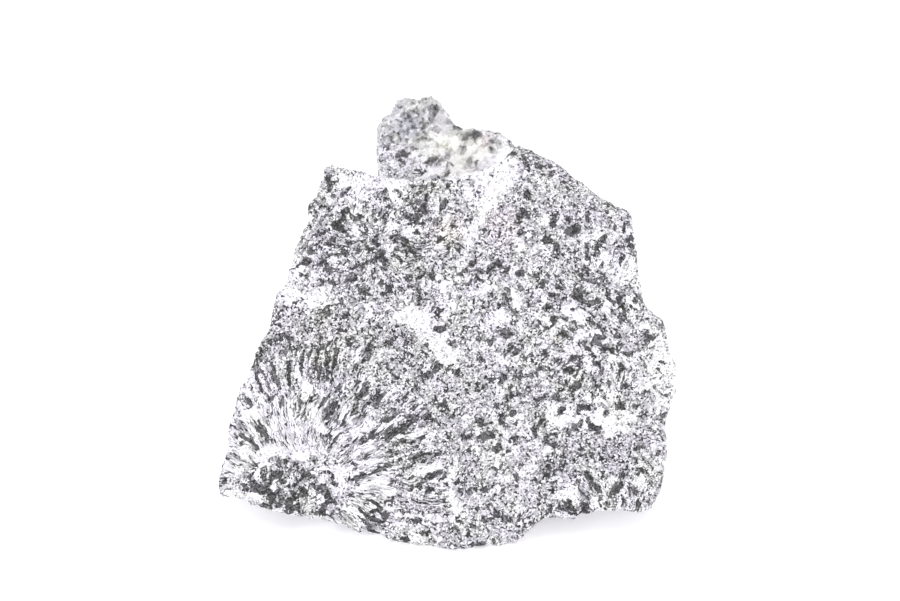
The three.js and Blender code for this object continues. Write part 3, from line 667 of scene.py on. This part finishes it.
def share_of(n, value, low, high):
    """How far value has come from low to high, from 0 to 1."""
    share = n.math("DIVIDE", n.math("SUBTRACT", value, low), n.math("SUBTRACT", high, low))
    return n.clamped(share)


def between(n, value, low, high):
    """1 where value lies between low and high, and 0 elsewhere."""
    return n.math("MULTIPLY", n.math("GREATER_THAN", value, low), n.math("LESS_THAN", value, high))


def zones(n, place, grain_place):
    """From the nearest orbicule: the way from its middle, how far that is, where its blades end,
    the zone and the zone's look. The zone is 0 to 1 in the core, then 1 to 2 in its halo, 2 to
    3 among the blades, 3 to 4 in the rim, 4 to 5 in the shell and 5 outside."""
    zone_place = n.vector("ADD", grain_place, wobble(n, place, ZONE_BEND))
    away, (core, halo, blades), (rim, shell, core_dark) = nearest_orbicule(n, zone_place)
    reach = n.length(away)
    ragged = n.vector("ADD", away, wobble(n, place, CORE_BEND))
    flat_reach = n.length(n.vector("MULTIPLY", ragged, FLATNESS))
    zone = n.math("ADD", share_of(n, flat_reach, 0, core), share_of(n, flat_reach, core, halo))
    for low, high in ((halo, blades), (blades, rim), (rim, shell)):
        zone = n.math("ADD", zone, share_of(n, reach, low, high))
    most = 6  # more than any zone, because a ramp ends at 1
    stops = [(at / most, look) for at, *look in ZONE_LOOKS]
    look = n.ramp(n.math("DIVIDE", zone, most), stops)
    core_look = n.joined(n.math("MULTIPLY", core_dark, n.step(zone, 1.2, 0.85)), 0, 0)
    return away, reach, blades, zone, n.vector("ADD", look, core_look)


def crystal_field(n, grain_place, coarse):
    """The place in crystals: drawn out, and lying the same way within each small fan."""
    lie = n.vector("NORMALIZE", n.vector("SUBTRACT", n.cells(grain_place, FAN), (0.5, 0.5, 0.5)))
    shortening = n.math("MULTIPLY", n.dot(grain_place, lie), SHORTENING)
    coarseness = n.math("GREATER_THAN", coarse, 0.5)
    crystal_place = n.vector("ADD", grain_place, n.scaled(lie, shortening))
    return n.scaled(crystal_place, n.mix(coarseness, 1 / CRYSTAL, 1 / COARSE_CRYSTAL))


def fabric(n, place, grain_place, coarse, fine, orbicule):
    """Random numbers for each crystal (dark, white and tone), for each smaller grain (the same),
    for each glint and for each clump, and then the place in crystals."""
    away, reach, blades, zone = orbicule
    bladed = between(n, zone, 1.98, 3)
    fineness = between(n, zone, 3, 4)

    # Blades are grains drawn out from the middle, and are set again where they grow too wide.
    way = n.vector("NORMALIZE", n.vector("ADD", away, wobble(n, place, BLADE_BEND)))
    further = n.math("GREATER_THAN", reach, n.math("MULTIPLY", blades, SET_AGAIN))

    def blade_place(width, length):
        each_way = n.mix(further, INNER_BLADES / width, OUTER_BLADES / width)
        turns = n.math("MULTIPLY", blades, each_way)
        along = n.math("DIVIDE", reach, n.math("MULTIPLY", blades, length))
        return n.scaled(way, n.math("ADD", turns, along))

    crystal_place = crystal_field(n, grain_place, coarse)
    chips = n.cells(grain_place, CHIP)
    fibrous = n.math("MULTIPLY", bladed, n.math("GREATER_THAN", blades, FIBROUS_REACH))
    fibrous = n.math("MULTIPLY", fibrous, n.math("SUBTRACT", 1, further))
    glint_place = n.mix(fibrous, n.scaled(place, 1 / GLINT), blade_place(*FIBRES), "VECTOR")
    glints = n.cells(glint_place)
    _, clumps = n.noise(place, CLUMP, 2)
    clumps = n.parts(clumps)
    fineness = n.math("MAXIMUM", fineness, n.math("GREATER_THAN", fine, clumps[0]))
    large_place = n.mix(bladed, crystal_place, blade_place(*LARGE_BLADES), "VECTOR")
    large = n.cells(large_place)
    small = n.mix(bladed, chips, n.cells(blade_place(*SMALL_BLADES)), "VECTOR")
    large = n.parts(n.mix(fineness, large, chips, "VECTOR"))
    small = n.parts(n.mix(fineness, small, glints, "VECTOR"))
    return large, small, n.parts(glints), clumps, large_place


def paleness(n, dark, white, soft, large, small, clumps):
    """A crystal's level of paleness, how white it is and how dark. They are grey, with white
    ones and dark ones among them, and smaller grains make their edges ragged."""
    large_dark, large_white, large_tone = large
    jitter = n.mix(soft, *RAGGEDNESS)
    whiteness = n.spread(clumps[1], WHITE_CLUMPING, large_white)
    whiteness = n.spread(small[1], jitter, whiteness)
    whiteness = n.math("SUBTRACT", n.math("ADD", whiteness, white), LEAST_WHITE)
    whiteness = n.edge(whiteness, soft, *WHITE_EDGE)
    darkness = n.spread(clumps[0], DARK_CLUMPING, large_dark)
    darkness = n.spread(small[0], jitter, darkness)
    darkness = n.edge(n.math("SUBTRACT", dark, darkness), soft, *DARK_EDGE)
    level = n.math("MULTIPLY_ADD", n.math("SUBTRACT", white, dark), GREY_SHIFT, GREY)
    level = n.spread(large_tone, n.mix(soft, *GREY_SPREAD), level)
    level = n.mix(whiteness, level, WHITE)
    dark_level = n.step(dark, 0.8, 1.6, DARK, DARKEST)
    dark_level = n.spread(large_tone, DARK_SPREAD, dark_level)
    return n.mix(darkness, level, dark_level), whiteness, darkness


def varied(n, level, strength, soft, whiteness, darkness, small, glints, seams):
    """The level with seams between crystals, and with chips, glints and flecks in them."""
    small_dark, _, small_tone = small
    glint, fleck, _ = glints
    seam = n.math("MULTIPLY", n.step(seams, 0.12, 0.02), n.step(small_dark, 0.45, 0.55))
    variation = n.math("MULTIPLY", n.sparse(small_tone), CHIP_SHARE)
    variation = n.math("MULTIPLY_ADD", seam, SEAM_SHARE, variation)
    variation = n.math("MULTIPLY_ADD", n.step(fleck, 0.08, 0.05), FLECK_SHARE, variation)
    variation = n.math("MULTIPLY_ADD", n.sparse(glint), GLINT_SHARE, variation)
    liveliness = n.math("MULTIPLY_ADD", darkness, DARK_CALM, 1)
    liveliness = n.math("MULTIPLY_ADD", whiteness, WHITE_CALM, liveliness)
    liveliness = n.math("MULTIPLY", liveliness, n.mix(soft, 1, SOFT_CALM))
    variation = n.math("MULTIPLY", variation, n.math("MAXIMUM", liveliness, LEAST_LIVELINESS))
    return n.clamped(n.math("MULTIPLY_ADD", variation, strength, level))


def granite_material():
    material = bpy.data.materials.new("orbicular_granite")
    material.use_nodes = True
    tree = material.node_tree
    tree.nodes.clear()
    n = Nodes(tree)

    # In the soft place grains run into each other.
    place = face_place(n)
    coarse, fine, soft = n.parts(n.kept("graining"))
    grain_place = n.vector("ADD", place, wobble(n, place, GRAIN_BEND))
    blend = n.scaled(wobble(n, place, SOFT_BEND), soft)
    grain_place = n.vector("ADD", grain_place, blend)

    *orbicule, look = zones(n, place, grain_place)
    large, small, glints, clumps, large_place = fabric(
        n, place, grain_place, coarse, fine, orbicule
    )
    look = n.vector("MULTIPLY_ADD", look, n.kept("zone_share"), n.kept("patch_look"))
    dark, white, strength = n.parts(look)
    level, whiteness, darkness = paleness(n, dark, white, soft, large, small, clumps)
    seams = n.seams(large_place)
    level = varied(n, level, strength, soft, whiteness, darkness, small, glints, seams)

    # The colour is near-neutral, with a slow drift between two casts, and stains.
    albedo = n.ramp(level, [(at, (value, value, value)) for at, value in TONES])
    drift, _ = n.noise(place, DRIFT, 2)
    cast = n.mix(n.step(drift, 0.3, 0.7), LAVENDER, GREENISH, "VECTOR")
    cast = n.vector("MULTIPLY", cast, n.kept("stain"))
    colour = n.vector("MULTIPLY", albedo, cast)

    bsdf = n.make("BsdfPrincipled", colour)
    set_inputs(bsdf, {"Roughness": 0.6, "Specular IOR Level": 0.25})
    bump = n.make("Bump")
    set_inputs(bump, {"Distance": 0.2 * MM})
    n.feed(bump.inputs["Strength"], n.mix(soft, 0.6, 0.15))
    height, _ = n.noise(place, BUMP, 3, 0.65)
    n.feed(bump.inputs["Height"], height)
    n.feed(bsdf.inputs["Normal"], bump.outputs[0])
    n.make("OutputMaterial", bsdf.outputs[0])
    return material


# ----------
# The stone's mesh
# ----------

VOXEL = 0.7 * MM

# The relief of grains of two sizes: their size, how far their heights differ and their tilt.
GRAIN_RELIEF = ((3.4, 0.50, 0.09), (1.7, 0.32, 0.14))

# Patches reach deeper into the rock than across the face, and their outlines bend: over how
# many millimetres, and how far.
DEPTH_WEIGHT = np.array((1, 1, 0.33))
PATCH_BENDS = ((2.6, 0.4), (1.2, 0.35))

# How softly single grains and blades fade at their edges: this, and a share of their radius.
GRAIN_FADING = 0.3
BLADE_FADING = 0.2
FADING_SHARE = 0.32

# How much longer a grain is one way, and how much narrower, as shares of its radius. From one
# grain to the next the long way turns by this angle.
GRAIN_LENGTH = 0.5
GRAIN_WIDTH = 0.82
GRAIN_TURN = 2.4

# Without a seed of its own, the noise that bends and roughens the mesh would differ each run.
noise.seed_set(5)


def stone_mesh(solid):
    """A copy of the solid, remeshed fine enough to carry the relief of single grains."""
    stone = bpy.data.objects.new("granite_stone", solid.data.copy())
    bpy.context.scene.collection.objects.link(stone)
    weld = stone.modifiers.new("weld", "WELD")
    weld.merge_threshold = 1e-6
    remesh = stone.modifiers.new("remesh", "REMESH")
    remesh.mode = "VOXEL"
    remesh.voxel_size = VOXEL
    smooth = stone.modifiers.new("smooth", "SMOOTH")
    smooth.iterations = 2
    finished = stone.evaluated_get(bpy.context.evaluated_depsgraph_get())
    stone.data = bpy.data.meshes.new_from_object(finished)
    stone.modifiers.clear()
    return stone


def vertex_values(mesh, name):
    """One row of three numbers for each vertex, such as its place or its normal."""
    values = np.empty(len(mesh.vertices) * 3, np.float32)
    mesh.vertices.foreach_get(name, values)
    return values.reshape(-1, 3)


def roughen(mesh):
    """Sets each grain at its own height and tilt, as they stand on a broken face."""
    places, normals = vertex_values(mesh, "co"), vertex_values(mesh, "normal")
    heights = [relief(Vector(place) / MM) * MM for place in places]
    places += normals * np.array(heights, np.float32)[:, None]
    places[:, 2] = np.maximum(places[:, 2], 0)
    mesh.vertices.foreach_set("co", places.ravel())
    mesh.update()


def relief(place):
    """How far the broken surface stands out at a place, in millimetres."""
    height = 0.0
    for size, step, tilt in GRAIN_RELIEF:
        bent = place + 0.25 * size * noise.noise_vector(place / size)
        _, centres = noise.voronoi(bent / size)
        seed = noise.cell_vector(centres[0] * 7.31)
        off = bent - centres[0] * size
        height += step * (seed.x - 0.5) + tilt * (seed - Vector((0.5, 0.5, 0.5))).dot(off)
    return height


def rise(value, low, high):
    """Rises smoothly from 0 to 1 as value goes from low to high."""
    share = np.clip((value - low) / (high - low), 0, 1)
    return share * share * (3 - 2 * share)


def inside(places, start, end, radii, softness):
    """1 inside a stretch between two points, with a radius at each, and 0 outside it."""
    start = np.array(start, float)
    line = np.array(end, float) - start
    squared = line @ line
    along = np.clip((places - start) @ line / squared, 0, 1) if squared else np.zeros(len(places))
    nearest = start + along[:, None] * line
    off = np.linalg.norm((places - nearest) * DEPTH_WEIGHT, axis=1)
    radius = radii[0] + along * (radii[1] - radii[0])
    return rise(off - radius, softness, -softness)


def inside_patch(places, patch):
    softness = 0.65 + 0.35 * max(patch.radii)
    return inside(places, patch.start, patch.end, patch.radii, softness)


def inside_any(places, patches):
    return np.max([inside_patch(places, patch) for patch in patches], axis=0)


def mark_radius(pixels):
    """A mark's radius in millimetres, from pixels."""
    return round(pixels / PIXELS_PER_MM, 2)


def grain(x, y, pixels, index):
    """The ends and the radius of a grain, which is a little longer one way. A few dark ones are
    painted shade.
    """
    u, v, n = seen(x, y)
    radius = mark_radius(pixels)
    turn = GRAIN_TURN * index
    u_reach = GRAIN_LENGTH * radius * math.cos(turn)
    v_reach = GRAIN_LENGTH * radius * math.sin(turn)
    return (u - u_reach, v - v_reach, n), (u + u_reach, v + v_reach, n), GRAIN_WIDTH * radius


def marks():
    """Each single grain and blade: its two ends, its radius, its fading and its look. Two dark
    grains are marks of painted shade.
    """
    made = []
    for grains, blades, look in (
        (WHITE_GRAINS, WHITE_BLADES, lambda white: (-0.2, white, 0.8)),
        (DARK_GRAINS_AND_SHADE, DARK_BLADES, lambda dark: (dark, -0.2, 0.9)),
    ):
        for x, y, pixels, strength in grains:
            made.append((*grain(x, y, pixels, len(made)), GRAIN_FADING, look(strength)))
        for x, y, end_x, end_y, pixels, strength in blades:
            ends = (seen(x, y), seen(end_x, end_y))
            made.append((*ends, mark_radius(pixels), BLADE_FADING, look(strength)))
    return made


def keep(mesh, name, values):
    """Keeps three numbers with each vertex."""
    attribute = mesh.attributes.new(name, "FLOAT_VECTOR", "POINT")
    attribute.data.foreach_set("vector", np.array(values, np.float32).ravel())


def keep_patches(mesh):
    """Keeps with each vertex what the material needs to know of the patches, marks and stains."""
    turn = np.array(FACE_TURN.to_matrix())
    places = (vertex_values(mesh, "co") / MM - np.array(FACE_ORIGIN)) @ turn.T
    facing = vertex_values(mesh, "normal") @ turn[2]
    for size, bend in PATCH_BENDS:
        bends = [noise.noise_vector(Vector(place) / size) for place in places]
        places = places + bend * np.array(bends)

    zone_share = np.ones(len(places))
    patch_look = np.zeros((len(places), 3))

    def lay(mask, look):
        nonlocal zone_share, patch_look
        zone_share = zone_share * (1 - mask)
        patch_look = patch_look * (1 - mask[:, None]) + mask[:, None] * np.array(look)

    for patch in PATCHES:
        lay(inside_patch(places, patch), patch.look)
    for start, end, radius, fading, look in marks():
        softness = fading + FADING_SHARE * radius
        lay(inside(places, start, end, (radius, radius), softness), look)
    keep(mesh, "zone_share", np.repeat(zone_share, 3))
    keep(mesh, "patch_look", patch_look)

    # The soft place isn't soft on the back, which it would reach through the thin knob.
    coarse, fine = inside_any(places, COARSE_PLACES), inside_any(places, FINE_PLACES)
    soft = inside_patch(places, SOFT_PLACE) * rise(facing, -0.1, 0.2)
    keep(mesh, "graining", np.stack([coarse, fine, soft], axis=1))

    cast = np.ones((len(places), 3))
    for at, radius, factors in STAINS:
        off = np.linalg.norm(places - np.array(at), axis=1)
        mask = rise(off, radius, 0.4 * radius)[:, None]
        cast *= 1 + mask * (np.array(factors) - 1)
    keep(mesh, "stain", cast)


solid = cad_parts["orbicular_granite"]
stone = stone_mesh(solid)
roughen(stone.data)
keep_patches(stone.data)
stone.data.materials.clear()
stone.data.materials.append(granite_material())
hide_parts("orbicular_granite")
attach(stone, "root")

# ----------
# Floor, light and camera
# ----------

scene = bpy.context.scene

# The floor lies just under the stone, so that their faces aren't in one plane. Its own glow
# keeps it as white as the photographed ground, and the stone's shadow pale.
FLOOR_DEPTH = 0.05 * MM
FLOOR_GLOW = 0.32

floor_material = bpy.data.materials.new("floor_white")
floor_material.use_nodes = True
set_inputs(floor_material.node_tree.nodes["Principled BSDF"], {
    "Base Color": (0.9, 0.9, 0.9, 1),
    "Roughness": 0.9,
    "Emission Color": (0.98, 0.97, 1, 1),
    "Emission Strength": FLOOR_GLOW,
})
bpy.ops.mesh.primitive_plane_add(size=6, location=(0, 0, -FLOOR_DEPTH))
floor = bpy.context.object
floor.name = "floor"
floor.data.materials.append(floor_material)

world = bpy.data.worlds.new("white_surround")
world.use_nodes = True
set_inputs(world.node_tree.nodes["Background"], {"Color": (1, 1, 1, 1), "Strength": 1})
scene.world = world


def softbox(name, location, power):
    """A round lamp of 0.7 m that points at the stone's lower middle."""
    light = bpy.data.lights.new(name, "AREA")
    light.shape = "DISK"
    light.size = 0.7
    light.energy = power
    lamp = bpy.data.objects.new(name, light)
    lamp.location = location
    aim = Vector((0, 0, 0.03)) - Vector(location)
    lamp.rotation_euler = aim.to_track_quat("-Z", "Y").to_euler()
    scene.collection.objects.link(lamp)


softbox("key_light", (-0.15, 0.1, 1.1), 4)
softbox("front_light", (0.1, -0.9, 0.6), 1.5)

camera_data = bpy.data.cameras.new("camera")
camera_data.lens = LENS
camera_data.sensor_width = SENSOR_WIDTH
camera = bpy.data.objects.new("camera", camera_data)
sight = Vector(SIGHT)
camera.location = CAMERA_AIM * MM - sight * CAMERA_DISTANCE * MM
camera.rotation_euler = sight.to_track_quat("-Z", "Y").to_euler()
scene.collection.objects.link(camera)
scene.camera = camera

scene.view_settings.view_transform = "Standard"
scene.view_settings.look = "None"
